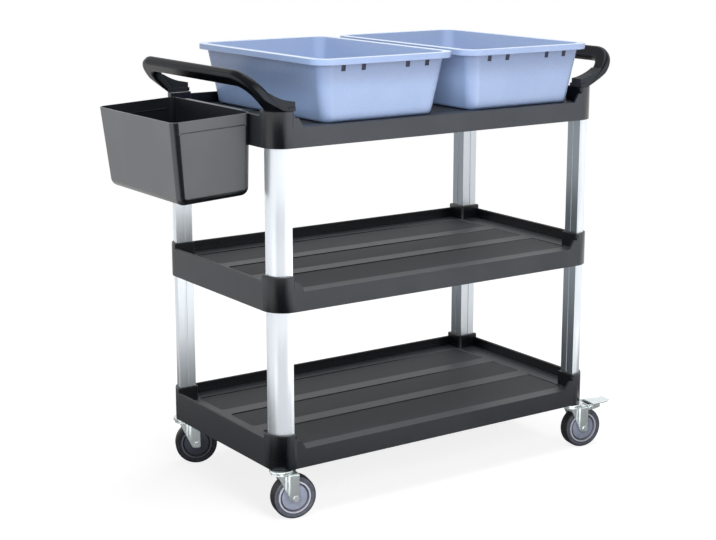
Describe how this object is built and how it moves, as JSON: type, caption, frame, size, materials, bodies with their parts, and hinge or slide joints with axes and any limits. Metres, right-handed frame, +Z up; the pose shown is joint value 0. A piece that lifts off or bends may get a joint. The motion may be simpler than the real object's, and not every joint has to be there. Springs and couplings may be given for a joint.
{
  "type": "service cart",
  "caption": "Wheeled catering cart with moulded open-front shelves on aluminium uprights, loop handles, lift-off bus tubs, a hook-on end bin and swivel casters with foot brakes at one end.",
  "frame": {"origin": "the point on the floor under the middle of the shelves", "axes": "+X along the long side to the end with the braked casters, +Y from the open front to the back, +Z up"},
  "size_m": [1.1661, 0.545, 1.006],
  "materials": {
    "black_plastic": "moulded black plastic with a fine grain and a soft sheen",
    "aluminium": "extruded, satin anodised",
    "zinc_steel": "pressed steel, bright zinc plated",
    "hub_plastic": "moulded grey plastic",
    "tyre_rubber": "dark grey non-marking rubber",
    "tub_plastic": "blue-grey polypropylene with a soft gloss",
    "bin_plastic": "grey polypropylene with a soft sheen"
  },
  "bodies": {
    "cart": {"bottom_shelf": "black_plastic", "middle_shelf": "black_plastic", "top_shelf": "black_plastic", "handle_left": "black_plastic", "handle_right": "black_plastic", "upright_lower_front_left": "aluminium", "upright_upper_front_left": "aluminium", "upright_lower_back_left": "aluminium", "upright_upper_back_left": "aluminium", "upright_lower_front_right": "aluminium", "upright_upper_front_right": "aluminium", "upright_lower_back_right": "aluminium", "upright_upper_back_right": "aluminium", "caster_socket_front_left": "black_plastic", "caster_stem_front_left": "zinc_steel", "caster_socket_back_left": "black_plastic", "caster_stem_back_left": "zinc_steel", "caster_socket_front_right": "black_plastic", "caster_stem_front_right": "zinc_steel", "caster_socket_back_right": "black_plastic", "caster_stem_back_right": "zinc_steel"},
    "swivel_front_left": {"caster_fork_front_left": "zinc_steel", "swivel_bearing_front_left": "zinc_steel", "axle_bolt_front_left": "zinc_steel", "axle_nut_front_left": "zinc_steel", "axle_sleeve_front_left": "zinc_steel"},
    "wheel_front_left": {"wheel_hub_front_left": "hub_plastic", "wheel_tyre_front_left": "tyre_rubber"},
    "swivel_back_left": {"caster_fork_back_left": "zinc_steel", "swivel_bearing_back_left": "zinc_steel", "axle_bolt_back_left": "zinc_steel", "axle_nut_back_left": "zinc_steel", "axle_sleeve_back_left": "zinc_steel"},
    "wheel_back_left": {"wheel_hub_back_left": "hub_plastic", "wheel_tyre_back_left": "tyre_rubber"},
    "swivel_front_right": {"caster_fork_front_right": "zinc_steel", "swivel_bearing_front_right": "zinc_steel", "axle_bolt_front_right": "zinc_steel", "axle_nut_front_right": "zinc_steel", "axle_sleeve_front_right": "zinc_steel", "brake_pin_front_right": "zinc_steel"},
    "wheel_front_right": {"wheel_hub_front_right": "hub_plastic", "wheel_tyre_front_right": "tyre_rubber"},
    "brake_front_right": {"brake_pedal_front_right": "zinc_steel", "brake_shoe_front_right": "tyre_rubber"},
    "swivel_back_right": {"caster_fork_back_right": "zinc_steel", "swivel_bearing_back_right": "zinc_steel", "axle_bolt_back_right": "zinc_steel", "axle_nut_back_right": "zinc_steel", "axle_sleeve_back_right": "zinc_steel", "brake_pin_back_right": "zinc_steel"},
    "wheel_back_right": {"wheel_hub_back_right": "hub_plastic", "wheel_tyre_back_right": "tyre_rubber"},
    "brake_back_right": {"brake_pedal_back_right": "zinc_steel", "brake_shoe_back_right": "tyre_rubber"},
    "tub_left": {"tub_left": "tub_plastic"},
    "tub_right": {"tub_right": "tub_plastic"},
    "hook_on_bin": {"hook_on_bin": "bin_plastic"}
  },
  "joints": [
    {"name": "swivel_front_left", "type": "hinge", "parent": "cart", "child": "swivel_front_left", "pos_m": [-0.42425, -0.22175, 0.107], "axis": [0, 0, 1], "continuous": true},
    {"name": "roll_front_left", "type": "hinge", "parent": "swivel_front_left", "child": "wheel_front_left", "pos_m": [-0.39902, -0.22804, 0.05], "axis": [-0.2419, -0.9703, 0], "continuous": true},
    {"name": "swivel_back_left", "type": "hinge", "parent": "cart", "child": "swivel_back_left", "pos_m": [-0.42425, 0.22175, 0.107], "axis": [0, 0, 1], "continuous": true},
    {"name": "roll_back_left", "type": "hinge", "parent": "swivel_back_left", "child": "wheel_back_left", "pos_m": [-0.4005, 0.21118, 0.05], "axis": [-0.4067, -0.9135, 0], "continuous": true},
    {"name": "swivel_front_right", "type": "hinge", "parent": "cart", "child": "swivel_front_right", "pos_m": [0.42425, -0.22175, 0.107], "axis": [0, 0, 1], "continuous": true},
    {"name": "roll_front_right", "type": "hinge", "parent": "swivel_front_right", "child": "wheel_front_right", "pos_m": [0.44986, -0.22626, 0.05], "axis": [-0.1736, -0.9848, 0], "continuous": true},
    {"name": "brake_front_right", "type": "hinge", "parent": "swivel_front_right", "child": "brake_front_right", "pos_m": [0.46561, -0.22904, 0.103], "axis": [0.1736, 0.9848, 0], "range_deg": [0, 12]},
    {"name": "swivel_back_right", "type": "hinge", "parent": "cart", "child": "swivel_back_right", "pos_m": [0.42425, 0.22175, 0.107], "axis": [0, 0, 1], "continuous": true},
    {"name": "roll_back_right", "type": "hinge", "parent": "swivel_back_right", "child": "wheel_back_right", "pos_m": [0.44986, 0.21724, 0.05], "axis": [-0.1736, -0.9848, 0], "continuous": true},
    {"name": "brake_back_right", "type": "hinge", "parent": "swivel_back_right", "child": "brake_back_right", "pos_m": [0.46561, 0.21446, 0.103], "axis": [0.1736, 0.9848, 0], "range_deg": [0, 12]},
    {"name": "lift_tub_left", "type": "slide", "parent": "cart", "child": "tub_left", "axis": [0, 0, 1], "range_m": [0, 0.2]},
    {"name": "lift_tub_right", "type": "slide", "parent": "cart", "child": "tub_right", "axis": [0, 0, 1], "range_m": [0, 0.2]},
    {"name": "lift_hook_on_bin", "type": "slide", "parent": "cart", "child": "hook_on_bin", "axis": [0, 0, 1], "range_m": [0, 0.025]}
  ]
}
